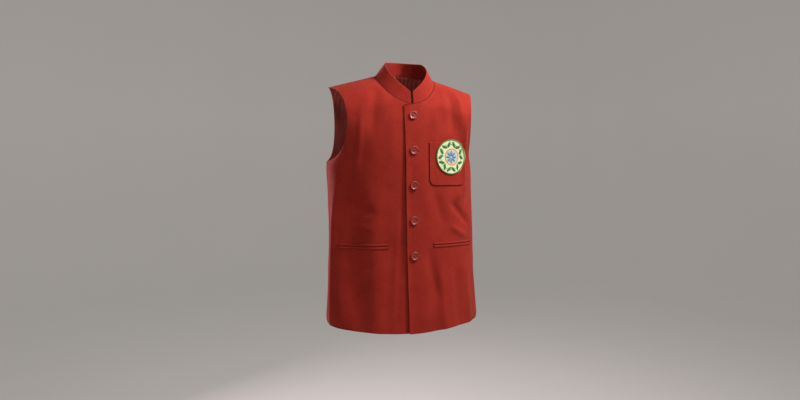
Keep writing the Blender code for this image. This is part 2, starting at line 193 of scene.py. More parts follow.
class Shader:
    """A material, whose nodes come from the one method node."""

    def __init__(self, name: str) -> None:
        """Starts a material with its Principled shader."""
        self.material = bpy.data.materials.new(name)
        self.material.use_nodes = True
        self.tree = self.material.node_tree
        self.surface = self.tree.nodes["Principled BSDF"]

    def put(self, socket: bpy.types.NodeSocket, value: Any) -> None:
        """Links a wire to a socket, or sets the socket's own value."""
        if isinstance(value, Wire):
            self.tree.links.new(value.socket, socket)
        elif isinstance(value, tuple) and socket.type == "RGBA":
            socket.default_value = (*value, 1)
        else:
            socket.default_value = value

    def node(
        self, kind: str, settings: dict[str, Any], sockets: dict[Any, Any], output: int | str = 0
    ) -> Wire:
        """Adds a node.

        Args:
            kind: The node's type.
            settings: Its settings, set first.
            sockets: The values or wires of its inputs, by name or number.
            output: Which of its outputs is meant.

        Returns:
            That output.
        """
        made = self.tree.nodes.new(kind)
        for name, value in settings.items():
            setattr(made, name, value)
        for key, value in sockets.items():
            self.put(made.inputs[key], value)
        return Wire(self, made.outputs[output])

    def cut(self) -> tuple[Wire, Wire]:
        """The two coordinates of the cloth's flat map, in metres."""
        flat = self.node("ShaderNodeUVMap", {"uv_map": MAP_NAME}, {})
        return tuple(self.node("ShaderNodeSeparateXYZ", {}, {0: flat}, output) for output in ("X", "Y"))

    def place(self) -> tuple[Wire, Wire, Wire]:
        """The three coordinates of the jacket's own frame."""
        where = self.node("ShaderNodeTexCoord", {}, {}, "Object")
        return tuple(self.node("ShaderNodeSeparateXYZ", {}, {0: where}, output) for output in ("X", "Y", "Z"))

    def distance(self, name: str) -> Wire:
        """The distance from the edge of the cloth, or from its sewn edge, in metres."""
        return self.node("ShaderNodeAttribute", {"attribute_name": name}, {}, "Fac")

    def noise(self, across: Wire, up: Wire, depth: Wire | float = 0.0, detail: float = 2.0) -> Wire:
        """Smooth noise from 0 to 1, with cells about 1 in size."""
        point = self.node("ShaderNodeCombineXYZ", {}, {"X": across, "Y": up, "Z": depth})
        return self.node("ShaderNodeTexNoise", {}, {"Vector": point, "Scale": 1.0, "Detail": detail})

    def mix(self, share: Wire, first: Wire | Colour, second: Wire | Colour) -> Wire:
        """A colour between two, by a share from 0 to 1."""
        settings = {"data_type": "RGBA", "clamp_factor": True}
        return self.node("ShaderNodeMix", settings, {0: share, 6: first, 7: second}, 2)

    def dress(self, bump: Wire | None = None, depth: float = 0.0, **values: Any) -> Material:
        """Sets the shader's sockets and its bump.

        Args:
            bump: The relief, from 0 to 1.
            depth: The relief's depth in metres.
            values: Each socket's value or wire, with its name's words joined by underscores.

        Returns:
            The material.
        """
        for name, value in values.items():
            self.put(self.surface.inputs[name.replace("_", " ").title().replace("Ior", "IOR")], value)
        if bump is not None:
            sockets = {"Strength": 1.0, "Distance": depth, "Height": bump}
            self.put(self.surface.inputs["Normal"], self.node("ShaderNodeBump", {}, sockets, "Normal"))
        return self.material


@dataclass(frozen=True)
class SlubCloth:
    """The jacket's cloth: a matte plain weave with level slubs, with a painted highlight along its ironed
    edges and painted shade in the lines of its seams.

    Attributes:
        lit: The colour of the raised threads.
        deep: The colour between them.
        sewn: The colour of the painted shade in the line of a seam.
        thread: The pitch of the threads, in metres.
        slub: The length and thickness of a slub, in metres.
        seam_shade_band: How far from a seam its line of painted shade starts and ends to fade.
        highlit_pressed_edge: The same for the painted highlight along the ironed edge.
        puckered: The same for the puckers of the sewing.
        relief: The depth of the bump.
    """

    lit: Colour = (0.430, 0.036, 0.021)
    deep: Colour = (0.225, 0.0115, 0.0075)
    sewn: Colour = (0.070, 0.0050, 0.0040)
    thread: float = 0.0009
    slub: Spot = (0.016, 0.0011)
    seam_shade_band: Spot = (0.0012, 0.0046)
    highlit_pressed_edge: Spot = (0.0008, 0.0045)
    puckered: Spot = (0.004, 0.016)
    relief: float = 0.0017

    def make(self) -> Material:
        """Builds the material."""
        shader = Shader("slub_cloth")
        u, v = shader.cut()
        across, along = u.wave(self.thread), v.wave(self.thread)
        weave = across * along + (1 - across) * (1 - along)
        weft = shader.noise(u / self.slub[0], v / self.slub[1], 0.0, 3.0).within(0.47, 0.72)
        warp = shader.noise(u / self.slub[1], v / self.slub[0], 4.0, 2.0).within(0.55, 0.80)
        tone = shader.noise(u / 0.05, v / 0.06, 8.0, 3.0).within(0.22, 0.78)
        crumple = shader.noise(u / 0.024, v / 0.034, 12.0, 3.0)
        fuzz = shader.noise(u / 0.0006, v / 0.0006, 2.0, 1.0)
        edge = shader.distance(EDGE_NAME)
        # Painted shade: the cloth darkens towards the sewn colour in a thin line along each seam.
        seam_shade = 1 - shader.distance(SEAM_NAME).within(*self.seam_shade_band)
        # Painted highlight: the cloth is paler along its ironed edges, as if they caught the light; the same
        # mask also makes them a little glossier.
        pressed_and_highlit = (1 - edge.within(*self.highlit_pressed_edge)) * (1 - seam_shade)
        pucker = shader.noise(u / 0.0080, v / 0.0080, 6.0, 2.0) * (1 - edge.within(*self.puckered))
        light = weave * 0.24 + weft * 0.26 + warp * 0.12 + tone * 0.26 + fuzz * 0.10 + pressed_and_highlit * 0.16
        return shader.dress(
            bump=weave * 0.09 + weft * 0.11 + warp * 0.05 + pucker * 0.29 + crumple * 0.46,
            depth=self.relief,
            base_color=shader.mix(seam_shade * 0.8, shader.mix(light, self.deep, self.lit), self.sewn),
            roughness=0.92 - weft * 0.10 + fuzz * 0.06 - pressed_and_highlit * 0.10,
            specular_ior_level=0.13,
            sheen_weight=0.07,
            sheen_roughness=0.45,
            sheen_tint=(1.0, 0.52, 0.44),
        )


@dataclass(frozen=True)
class SatinLining:
    """The lining's cloth: a smooth close twill with a low sheen, with painted shade in its pleated folds and
    lower in the body.

    Attributes:
        lit: The colour on the threads, where no painted shade falls.
        deep: The colour between them, and of the painted shade in the pleated folds and low in the body.
        rib: The pitch of the twill's ribs, in metres.
        pleat: The pitch of its pleats.
        pleated: The heights where the pleating and its painted shade fade out and where they are full.
        painted_shade_heights: The heights where its painted shade is darkest and where it ends.
    """

    lit: Colour = (0.560, 0.110, 0.084)
    deep: Colour = (0.085, 0.010, 0.009)
    rib: float = 0.0007
    pleat: float = 0.0125
    pleated: Spot = (-0.120, -0.030)
    painted_shade_heights: Spot = (-0.120, -0.045)

    def make(self) -> Material:
        """Builds the material."""
        shader = Shader("satin_lining")
        u, v = shader.cut()
        ribs = (u + v).wave(self.rib)
        tone = shader.noise(u / 0.03, v / 0.09, 1.0, 3.0).within(0.30, 0.70)
        crumple = shader.noise(u / 0.012, v / 0.030, 3.0, 3.0)
        # Painted shade: the valleys of each pleat are painted darker, as well as lowered by the bump.
        pleats_and_shade = (u + v * 0.04).wave(self.pleat) * v.within(*self.pleated)
        light = ribs * 0.20 + tone * 0.45 + crumple * 0.25 + pleats_and_shade * 0.45
        return shader.dress(
            bump=ribs * 0.06 + crumple * 0.44 + pleats_and_shade * 0.50,
            depth=0.0024,
            # Painted shade: the lining's colour darkens lower in the body, below the neck.
            base_color=shader.mix(light * (v.within(*self.painted_shade_heights) * 0.85 + 0.15), self.deep, self.lit),
            roughness=0.50 + tone * 0.12,
            specular_ior_level=0.16,
            sheen_weight=0.03,
            sheen_roughness=0.30,
            sheen_tint=(1.0, 0.62, 0.55),
        )


@dataclass(frozen=True)
class Resin:
    """The buttons' glossy moulded resin, faintly clouded.

    Attributes:
        pale: The colour of the clouds.
        deep: The colour between them.
    """

    pale: Colour = (0.380, 0.045, 0.030)
    deep: Colour = (0.210, 0.016, 0.011)

    def make(self) -> Material:
        """Builds the material."""
        shader = Shader("button_resin")
        x, y, z = shader.place()
        cloud = shader.noise(x / 0.006, z / 0.003, y / 0.006, 3.0).within(0.30, 0.72)
        scuff = shader.noise(x / 0.0012, z / 0.0012, y / 0.0012, 2.0)
        return shader.dress(
            bump=scuff,
            depth=0.00002,
            base_color=shader.mix(cloud, self.deep, self.pale),
            roughness=0.32 + scuff * 0.10,
            specular_ior_level=0.4,
            coat_weight=0.15,
            coat_roughness=0.14,
        )


@dataclass(frozen=True)
class Thread:
    """Twisted sewing or embroidery thread.

    Attributes:
        name: The material's name.
        colour: Its colour.
        gloss: 0 for cotton, 1 for bright silk.
        twist: The pitch of its twist, in metres.
    """

    name: str
    colour: Colour
    gloss: float = 0.3
    twist: float = 0.0006

    def make(self) -> Material:
        """Builds the material."""
        shader = Shader(self.name)
        x, y, z = shader.place()
        strands = (x + y + z).wave(self.twist)
        fibre = shader.noise(x / 0.0009, z / 0.0009, y / 0.0009, 2.0)
        shade = tuple(0.55 * part for part in self.colour)
        return shader.dress(
            bump=strands,
            depth=0.00012,
            base_color=shader.mix(strands * 0.55 + fibre * 0.60, shade, self.colour),
            roughness=0.85 - 0.45 * self.gloss + fibre * 0.08,
            sheen_weight=0.2,
            sheen_roughness=0.35,
        )


@dataclass(frozen=True)
class BadgeTwill:
    """The badge's ground: pale twill, with thin rings and a shaded middle, all round its centre.

    Attributes:
        radius: The badge's radius, in metres.
        centre: The badge's middle on its flat map.
        ground: The colour of the twill.
        shade: The colour between its ribs.
        ring: The colour of the thin ring.
        heart: The colour of the middle disc's circles.
        pale_heart: The colour between them.
        rib: The pitch of the twill's ribs, in metres.
    """

    radius: float
    centre: Spot
    ground: Colour = (0.800, 0.830, 0.500)
    shade: Colour = (0.560, 0.620, 0.300)
    ring: Colour = (0.780, 0.160, 0.035)
    heart: Colour = (0.360, 0.500, 0.590)
    pale_heart: Colour = (0.62, 0.72, 0.74)
    rib: float = 0.0011

    def make(self) -> Material:
        """Builds the material."""
        shader = Shader("badge_twill")
        u, v = shader.cut()
        ribs = (u + v).wave(self.rib)
        u, v = u - self.centre[0], v - self.centre[1]
        away = shader.node("ShaderNodeMath", {"operation": "SQRT"}, {0: u * u + v * v}) / self.radius
        twill = shader.mix(ribs, self.shade, self.ground)
        ring = 1 - (away - 0.45).size().within(0.026, 0.038)
        heart = 1 - away.within(0.385, 0.400)
        circles = away.wave(0.095)
        middle = shader.mix(circles * 0.5 + 0.5, self.pale_heart, self.heart)
        colour = shader.mix(heart, shader.mix(ring, twill, self.ring), middle)
        raised = ring * 0.55 + heart * (circles * 0.35 + 0.25)
        return shader.dress(
            bump=raised + ribs * 0.18,
            depth=0.0007,
            base_color=colour,
            roughness=0.72 - heart * 0.15 + ribs * 0.08,
            sheen_weight=0.2,
            sheen_roughness=0.4,
        )


@dataclass(frozen=True)
class PaintedFloor:
    """The studio's pale, even floor and wall.

    Attributes:
        colour: Its colour.
        glow: The even light that it gives.
    """

    colour: Colour = (0.62, 0.60, 0.58)
    glow: float = 0.22

    def make(self) -> Material:
        """Builds the material."""
        shader = Shader("pale_floor")
        x, y, _ = shader.place()
        cloud = shader.noise(x / 0.8, y / 0.8, 0.0, 2.0)
        pale = tuple(part * 1.06 for part in self.colour)
        return shader.dress(
            base_color=shader.mix(cloud, self.colour, pale),
            roughness=0.9,
            emission_color=self.colour,
            emission_strength=self.glow,
        )


class Cloths:
    """Every finish, made once."""

    def __init__(self, badge_radius: float, badge_centre: Spot) -> None:
        """Builds the materials."""
        self.cloth = SlubCloth().make()
        self.lining = SatinLining().make()
        self.resin = Resin().make()
        self.sewing = Thread("red_sewing", (0.42, 0.040, 0.028), 0.2).make()
        # A dark thread that paints the shade inside each buttonhole's slit.
        self.shadow = Thread("slit_shadow", (0.190, 0.015, 0.011), 0.0).make()
        self.leaf = Thread("leaf_green_silk", (0.010, 0.210, 0.075), 0.7, 0.0010).make()
        self.border = Thread("border_green_silk", (0.105, 0.330, 0.060), 0.5).make()
        self.petal = Thread("petal_silk", (0.160, 0.330, 0.420), 0.7, 0.0010).make()
        self.twill = BadgeTwill(badge_radius, badge_centre).make()
        self.floor = PaintedFloor().make()


def added(name: str, form: BMesh, *materials: Material) -> Object:
    """Makes a mesh object of a form, and frees the form.

    Args:
        name: The object's name.
        form: The mesh.
        materials: Its material slots, in order.

    Returns:
        The object, in the scene.
    """
    mesh = bpy.data.meshes.new(name)
    form.to_mesh(mesh)
    form.free()
    for material in materials:
        mesh.materials.append(material)
    mesh.shade_smooth()
    made = bpy.data.objects.new(name, mesh)
    bpy.context.scene.collection.objects.link(made)
    return made


def settled(made: Object) -> Object:
    """Applies an object's modifiers to its mesh."""
    graph = bpy.context.evaluated_depsgraph_get()
    found = made.evaluated_get(graph)
    mesh = bpy.data.meshes.new_from_object(found, preserve_all_data_layers=True, depsgraph=graph)
    made.modifiers.clear()
    old = made.data
    made.data = mesh
    mesh.name = made.name
    bpy.data.meshes.remove(old)
    return made


def rounded(made: Object, width: float, turn: float) -> None:
    """Adds a soft bevel, in metres, to the edges that turn by more than some degrees."""
    soft = made.modifiers.new("rounded", "BEVEL")
    soft.width = width
    soft.segments = 2
    soft.limit_method = "ANGLE"
    soft.angle_limit = math.radians(turn)


def spun(profile: Sequence[Spot], steps: int) -> BMesh:
    """Turns a profile of radii and heights round the Z axis."""
    form = bmesh.new()
    verts = [form.verts.new((radius, 0, height)) for radius, height in profile]
    geom = verts + [form.edges.new(pair) for pair in zip(verts, verts[1:])]
    turn = {"cent": (0, 0, 0), "axis": (0, 0, 1), "angle": 2 * math.pi}
    bmesh.ops.spin(form, geom=geom, steps=steps, use_merge=True, **turn)
    bmesh.ops.remove_doubles(form, verts=form.verts, dist=MERGE_DISTANCE)
    bmesh.ops.recalc_face_normals(form, faces=form.faces)
    return form


def seat(place: Vector, along: Vector, normal: Vector) -> Matrix:
    """A matrix at a place, whose X runs along a line and whose Z stands out from the cloth."""
    matrix = Matrix((along, normal.cross(along), normal)).transposed().to_4x4()
    matrix.translation = place
    return matrix


def enter(made: Object, node: str = "") -> None:
    """Puts a piece on the jacket's body, in place of its CAD node if it has one, and reports it."""
    if node:
        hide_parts(node)
    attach(made, BODY)
    LOG.info("%s: %d faces", made.name, len(made.data.polygons))


def at_points(mesh: Mesh, name: str = "co") -> np.ndarray:
    """The place of each point of a mesh, or another vector that is named, one row each."""
    flat = np.empty(len(mesh.vertices) * 3)
    mesh.vertices.foreach_get(name, flat)
    return flat.reshape(-1, 3)


def at_corners(mesh: Mesh) -> tuple[np.ndarray, np.ndarray]:
    """The place of each corner of a mesh's faces on its flat map, and the number of its point."""
    flat = np.empty(len(mesh.loops) * 2)
    mesh.uv_layers[MAP_NAME].uv.foreach_get("vector", flat)
    corner = np.empty(len(mesh.loops), int)
    mesh.loops.foreach_get("vertex_index", corner)
    return flat.reshape(-1, 2), corner


class FlatMap:
    """The flat map of a sheet of cloth, in metres, with u across and v up."""

    def __init__(self, made: Object) -> None:
        """Unwraps a sheet, and turns and sizes its map to the cloth."""
        self.made = made
        for other in bpy.context.selected_objects:
            other.select_set(False)
        made.select_set(True)
        bpy.context.view_layer.objects.active = made
        made.data.uv_layers.new(name=MAP_NAME)
        bpy.ops.object.mode_set(mode="EDIT")
        bpy.ops.mesh.select_all(action="SELECT")
        bpy.ops.uv.unwrap(method="ANGLE_BASED", margin=0)
        bpy.ops.object.mode_set(mode="OBJECT")
        self.fit()

    def fit(self) -> None:
        """Sizes the map by the cloth's area, and turns it so that v rises with Z and u with X."""
        mesh = self.made.data
        flat, corner = at_corners(mesh)
        points = at_points(mesh)[corner]
        centred = flat - flat.mean(axis=0)
        steep, *_ = np.linalg.lstsq(centred, points[:, 2] - points[:, 2].mean(), rcond=None)
        up = steep / np.linalg.norm(steep)
        across = np.array([up[1], -up[0]])
        if (centred @ across) @ (points[:, 0] - points[:, 0].mean()) < 0:
            across = -across
        size = math.sqrt(sum(face.area for face in mesh.polygons) / self.flat_area(mesh, flat))
        turned = np.stack([centred @ across, centred @ up], axis=1) * size
        inmost = np.clip(0, points[:, 0].min(), points[:, 0].max())
        middle = np.argsort(np.abs(points[:, 0] - inmost))[:24]
        turned[:, 0] += (points[middle, 0] - turned[middle, 0]).mean()
        turned[:, 1] += (points[:, 2] - turned[:, 1]).mean()
        mesh.uv_layers[MAP_NAME].uv.foreach_set("vector", turned.ravel())

    @staticmethod
    def flat_area(mesh: Mesh, flat: np.ndarray) -> float:
        """The area of a map."""
        total = 0.0
        for face in mesh.polygons:
            loop = flat[face.loop_start : face.loop_start + face.loop_total]
            following = np.roll(loop, -1, axis=0)
            total += abs((loop[:, 0] * following[:, 1] - loop[:, 1] * following[:, 0]).sum()) / 2
        return total


@dataclass(frozen=True)
class Crease:
    """A soft ridge or trough in the cloth, along a bow over its flat map. Its numbers are millimetres.

    Attributes:
        start: Where the bow starts on the map.
        pull: The point that it is pulled towards.
        end: Where it ends.
        width: How far from its line it has mostly faded.
        height: How far it stands out, or sinks in where negative.
    """

    start: Spot
    pull: Spot
    end: Spot
    width: float
    height: float

    def lift(self, u: np.ndarray, v: np.ndarray, steps: int = 12, fade: float = 0.35) -> np.ndarray:
        """How far it raises each point of the map, with its line in steps and its ends faded."""
        share = np.linspace(0, 1, steps + 1)[:, None]
        start, pull, end = (np.array(spot) / MILLIMETRES for spot in (self.start, self.pull, self.end))
        line = (1 - share) ** 2 * start + 2 * share * (1 - share) * pull + share**2 * end
        nearest = np.full(u.shape, np.inf)
        along = np.zeros(u.shape)
        for number, (a, b) in enumerate(zip(line, line[1:])):
            run = b - a
            part = np.clip(((u - a[0]) * run[0] + (v - a[1]) * run[1]) / (run @ run), 0, 1)
            away = np.hypot(u - a[0] - part * run[0], v - a[1] - part * run[1])
            along = np.where(away < nearest, (number + part) / steps, along)
            nearest = np.minimum(nearest, away)
        taper = ease(along / fade) * ease((1 - along) / fade)
        return self.height / MILLIMETRES * taper * np.exp(-((nearest / (self.width / MILLIMETRES)) ** 2))


class Hold(Enum):
    """What a sheet's border may do when the cloth is creased."""

    ALL = "every border stays where it is"
    HEM_FREE = "the hem swings and every other border stays"
    LAP_FREE = "the hem and the lap's edge swing and every other border stays"


def body_seam(point: Vector) -> bool:
    """Whether a point of the border of a front or the back is in a side, shoulder or neck seam."""
    side = abs(point.x) > SIDE_X and point.z < UNDERARM_Z
    shoulder = abs(point.y) < SHOULDER_BAND and point.z > SHOULDER_TIP_Z
    neck = abs(point.x) < NECK_REACH and point.z > NECK_PIT_Z
    return side or shoulder or neck


@dataclass
class Panel:
    """A panel of cloth, made from the outer face of its CAD wall.

    Attributes:
        node: The CAD node.
        slot: The record's material slot; not used.
        cad_wall: The thickness of the CAD wall.
        wall: The thickness of the panel.
        levels: How often its cells are halved.
        creases: Its creases.
        swell: The height of the slow waves over it.
        hold: What its border may do.
        seam_reach: How far its border moves along Y to close its seams.
        tuck: How far its lower border is drawn out along the cloth.
        ditch: How deep its side seam is pressed in.
        seams: Which points of its border are sewn down.
        seam_shade_scale: How many times narrower than a side seam the painted shade of its seams is.
        square: Whether its corners stay sharp.
        steep_cells: Whether its tall cells are cut once more.
        ground: Its outer face, once it is creased.
    """

    node: str
    slot: str
    cad_wall: float
    wall: float
    levels: int = 2
    creases: tuple[Crease, ...] = ()
    swell: float = 0.0006
    hold: Hold = Hold.ALL
    seam_reach: float = 0.0
    tuck: float = 0.0
    ditch: float = 0.0
    seams: Callable[[Vector], bool] = body_seam
    seam_shade_scale: float = 1.0
    square: bool = True
    steep_cells: bool = False
    ground: Ground = field(default=None, init=False)

    def outer_face(self, source: Object) -> BMesh:
        """The outer face of the CAD wall, in quads.

        Args:
            source: The CAD node's object.

        Returns:
            The open sheet.
        """
        form = bmesh.new()
        form.from_mesh(source.data)
        bmesh.ops.remove_doubles(form, verts=form.verts, dist=MERGE_DISTANCE)
        form.normal_update()
        unwanted = []
        for face in form.faces:
            middle = face.calc_center_median()
            hub = Vector((0, HUB_Y, min(middle.z, HUB_TOP_Z)))
            thin = min(edge.calc_length() for edge in face.edges) < END_FACE_SHARE * self.cad_wall
            if thin or face.normal.dot(middle - hub) <= 0:
                unwanted.append(face)
        bmesh.ops.delete(form, geom=unwanted, context="FACES")
        any_turn = {"angle_face_threshold": math.pi, "angle_shape_threshold": math.pi}
        bmesh.ops.join_triangles(form, faces=form.faces, **any_turn)
        if self.square:
            self.mark_corners(form)
        if self.tuck:
            self.tuck_base(form)
        for vert in form.verts:
            if vert.is_boundary:
                vert.co.y += self.seam_reach
        return form

    @staticmethod
    def mark_corners(form: BMesh) -> None:
        """Keeps the corners of the sheet's border sharp when its cells are halved."""
        sharp = form.verts.layers.float.new("crease_vert")
        for vert in form.verts:
            border = [edge.other_vert(vert).co - vert.co for edge in vert.link_edges if edge.is_boundary]
            if len(border) == 2 and border[0].angle(-border[1]) > CORNER_TURN:
                vert[sharp] = 1.0

    def tuck_base(self, form: BMesh) -> None:
        """Draws the sheet's lower border out along the cloth, so that no gap shows below it."""
        moves = {}
        for vert in (vert for vert in form.verts if vert.is_boundary):
            inner = [edge for edge in vert.link_edges if not edge.is_boundary]
            runs = [edge.other_vert(vert).co - vert.co for edge in inner or vert.link_edges]
            steepest = max(runs, key=lambda run: abs(run.z)).normalized()
            if steepest.z > 0.5:
                moves[vert] = steepest * -self.tuck
        for vert, move in moves.items():
            vert.co += move

    def refined(self, made: Object) -> None:
        """Halves the cells, smoothly, and cuts the tall ones once more."""
        finer = made.modifiers.new("finer", "SUBSURF")
        finer.levels = self.levels
        finer.render_levels = self.levels
        finer.boundary_smooth = "PRESERVE_CORNERS"
        settled(made)
        if self.steep_cells:
            form = bmesh.new()
            form.from_mesh(made.data)
            tall = [e for e in form.edges if abs(e.verts[0].co.z - e.verts[1].co.z) > TALL_CELL]
            bmesh.ops.subdivide_edges(form, edges=tall, cuts=1, use_grid_fill=True)
            form.to_mesh(made.data)
            form.free()

    def map_points(self, mesh: Mesh) -> np.ndarray:
        """The place of each point of a mesh on the flat map."""
        flat, corner = at_corners(mesh)
        places = np.zeros((len(mesh.vertices), 2))
        places[corner] = flat
        return places

    def border_distance(self, made: Object) -> list[np.ndarray]:
        """How far each point is from the border, from the part of it that stays, and from its sewn part."""
        form = bmesh.new()
        form.from_mesh(made.data)
        border = [vert.co.copy() for vert in form.verts if vert.is_boundary]
        form.free()
        hem_z = min(point.z for point in border) + HEM_REACH
        stays = [point for point in border if self.stays(point, hem_z)]
        sewn = [point for point in border if self.seams(point)] or [Vector((0, 0, 9))]
        distances = []
        for points in (border, stays, sewn):
            tree = KDTree(len(points))
            for number, point in enumerate(points):
                tree.insert(point, number)
            tree.balance()
            distances.append(np.array([tree.find(vert.co)[2] for vert in made.data.vertices]))
        return distances

    def stays(self, point: Vector, hem_z: float) -> bool:
        """Whether a point of the border stays where it is."""
        if self.hold is Hold.ALL:
            return True
        return point.z > hem_z and not (self.hold is Hold.LAP_FREE and point.x < 0)

    def crease(self, made: Object) -> None:
        """Raises and sinks the cloth along its creases, and stores the distance from its edge."""
        mesh = made.data
        edge, fixed, seam = self.border_distance(made)
        u, v = self.map_points(mesh).T
        lift = self.swell * np.sin(u * 41 + v * 17) * np.sin(v * 23 - u * 11 + 1.7)
        lift += self.swell * 0.5 * np.sin(u * 83 - v * 29 + 0.6) * np.sin(v * 51 + u * 19)
        for crease in self.creases:
            lift += crease.lift(u, v)
        lift *= ease((fixed - STILL_EDGE) / STILL_FADE)
        points = at_points(mesh)
        below = ease((UNDERARM_Z - points[:, 2]) / DITCH_FADE)
        lift -= self.ditch * below * np.exp(-((seam / DITCH_WIDTH) ** 2))
        points += at_points(mesh, "normal") * lift[:, None]
        mesh.vertices.foreach_set("co", points.ravel())
        # The scaled seam distance places the cloth's painted seam shade; the edge distance places its painted
        # edge highlight and its puckers.
        for name, values in ((EDGE_NAME, edge), (SEAM_NAME, seam * self.seam_shade_scale)):
            stored = mesh.attributes.new(name, "FLOAT", "POINT")
            stored.data.foreach_set("value", values.astype(np.float32))
        mesh.update()

    def thicken(self, made: Object, *materials: Material) -> None:
        """Gives the sheet its thickness, inwards, and rounds its edges.

        Args:
            made: The sheet.
            materials: The outer finish, then the inner finish if it is another.
        """
        made.data.materials.clear()
        for material in materials:
            made.data.materials.append(material)
        solid = made.modifiers.new("thickness", "SOLIDIFY")
        solid.thickness = self.wall
        solid.offset = -1
        solid.use_even_offset = True
        if len(materials) > 1:
            solid.material_offset = 1
        rounded(made, self.wall * ROUNDED_SHARE, ROUNDED_TURN)
        settled(made)

    def declare(self, made: Object, area: float, rests_on: Sequence[str]) -> None:
        """Works out the size of the sheet's flat map, and does nothing more with it."""
        flat = tuple(float(size) for size in np.ptp(self.map_points(made.data), axis=0))

    def build(self, source: Object, rests_on: Sequence[str], *materials: Material) -> None:
        """Builds, creases and places the panel.

        Args:
            source: The CAD node's object.
            rests_on: What the cloth hangs from; not used.
            materials: The outer finish, then the inner one.
        """
        made = added(f"{self.node}_cloth", self.outer_face(source))
        FlatMap(made)
        self.refined(made)
        self.crease(made)
        self.ground = Ground(made.data)
        area = sum(face.area for face in made.data.polygons)
        self.thicken(made, *materials)
        enter(made, self.node)
        self.declare(made, area, rests_on)


class Ground:
    """The outer face of a finished panel, on which other pieces are set."""

    def __init__(self, mesh: Mesh) -> None:
        """Keeps a mesh's points, normals and faces."""
        self.points = at_points(mesh)
        self.normals = at_points(mesh, "normal")
        self.faces = [tuple(face.vertices) for face in mesh.polygons]
        self.tree = BVHTree.FromPolygons(self.points.tolist(), self.faces)

    def touch(self, x: float, z: float) -> tuple[Vector, Vector] | None:
        """The point and the smooth normal straight behind x and z, or nothing where there is no cloth."""
        point, _, number, _ = self.tree.ray_cast(Vector((x, -1, z)), Vector((0, 1, 0)))
        if point is None:
            return None
        corners = list(self.faces[number])
        away = np.linalg.norm(self.points[corners] - np.array(point), axis=1)
        weight = 1 / (away + 1e-6)
        normal = Vector((self.normals[corners] * weight[:, None]).sum(axis=0)).normalized()
        return point, normal

    def turned(self, x: float, z: float, angle: float = 0.0, lift: float = 0.0) -> Matrix:
        """A place on the cloth.

        Args:
            x: Its X.
            z: Its Z.
            angle: The turn in the cloth's plane, from level.
            lift: The height over the cloth.

        Returns:
            A matrix whose X runs along the turned line, and whose Z stands out from the cloth.
        """
        point, normal = self.touch(x, z)
        level = Vector((1, 0, 0)) - normal * normal.x
        level.normalize()
        up = normal.cross(level)
        along = level * math.cos(angle) + up * math.sin(angle)
        return seat(point + normal * lift, along, normal)


@dataclass
class Patch(Panel):
    """A flat piece that lies on a front, made from its CAD piece and set on the creased cloth.

    Attributes:
        lift: The height of its underside over the cloth.
        crown: How much higher its middle line stands than its long edges.
    """

    lift: float = 0.0004
    crown: float = 0.0

    def settle(self, made: Object, ground: Ground) -> None:
        """Sets each point of the sheet on the cloth below it."""
        mesh = made.data
        heights = at_points(mesh)[:, 2]
        middle, half = heights.mean(), np.ptp(heights) / 2
        for vert in mesh.vertices:
            point, normal = ground.touch(vert.co.x, vert.co.z)
            share = (vert.co.z - middle) / half
            rise = self.crown * math.sqrt(max(0.0, 1 - share * share))
            vert.co = point + normal * (self.lift + self.wall + rise)

    def lay(self, source: Object, ground: Ground, material: Material, *rests_on: str) -> None:
        """Builds the piece on the cloth.

        Args:
            source: The CAD node's object.
            ground: The front's outer face.
            material: Its finish.
            rests_on: What it lies on; when given, declare is called, which does nothing with it.
        """
        made = added(f"{self.node}_cloth", self.outer_face(source))
        FlatMap(made)
        self.refined(made)
        self.settle(made, ground)
        self.crease(made)
        area = sum(face.area for face in made.data.polygons)
        self.ground = Ground(made.data)
        self.thicken(made, material)
        enter(made, self.node)
        if rests_on:
            self.declare(made, area, rests_on)


@dataclass(frozen=True)
class Stitch:
    """One thread of sewing, thick in the middle and sunk at both ends.

    Attributes:
        length: Its length.
        width: Its width.
        height: Its height over the cloth.
    """

    length: float = 0.0022
    width: float = 0.0005
    height: float = 0.0004

    def sew(self, name: str, places: Iterable[Matrix], material: Material) -> None:
        """Makes one mesh of a stitch at every place.

        Args:
            name: The piece's name.
            places: Where each stitch lies, with X along it and Z out of the cloth.
            material: Its thread.
        """
        form = bmesh.new()
        size = Matrix.Diagonal((self.length / 2, self.width / 2, self.height, 1))
        for place in places:
            bmesh.ops.create_uvsphere(form, u_segments=6, v_segments=5, radius=1, matrix=place @ size)
        bmesh.ops.recalc_face_normals(form, faces=form.faces)
        enter(added(name, form, material))


def edge_row(ground: Ground, inset: float, pitch: float, keep: Callable[[Vector], bool]) -> list[Matrix]:
    """Places along the border of a piece, for a row of stitches beside its edge.

    Args:
        ground: The piece's outer face.
        inset: How far the row lies inside the border.
        pitch: The distance between two stitches.
        keep: Whether a place gets a stitch.

    Returns:
        The places, with X along the row and Z out of the cloth.
    """
    form = bmesh.new()
    verts = [form.verts.new(point) for point in ground.points]
    for face in ground.faces:
        form.faces.new([verts[corner] for corner in face])
    form.verts.index_update()
    places = []
    rest = 0.0
    start = next(edge for edge in form.edges if edge.is_boundary)
    vert, edge = start.verts[0], start
    while True:
        following = edge.other_vert(vert)
        run = following.co - vert.co
        normal = Vector(ground.normals[vert.index])
        aside = normal.cross(run).normalized()
        aside *= 1 if aside.dot(edge.link_faces[0].calc_center_median() - vert.co) > 0 else -1
        rest += run.length
        if rest >= pitch:
            rest -= pitch
            place = vert.co + run * 0.5 + aside * inset
            if keep(place):
                places.append(seat(place, run.normalized(), normal))
        vert = following
        edge = next(e for e in vert.link_edges if e.is_boundary and e is not edge)
        if edge is start:
            break
    form.free()
    return places


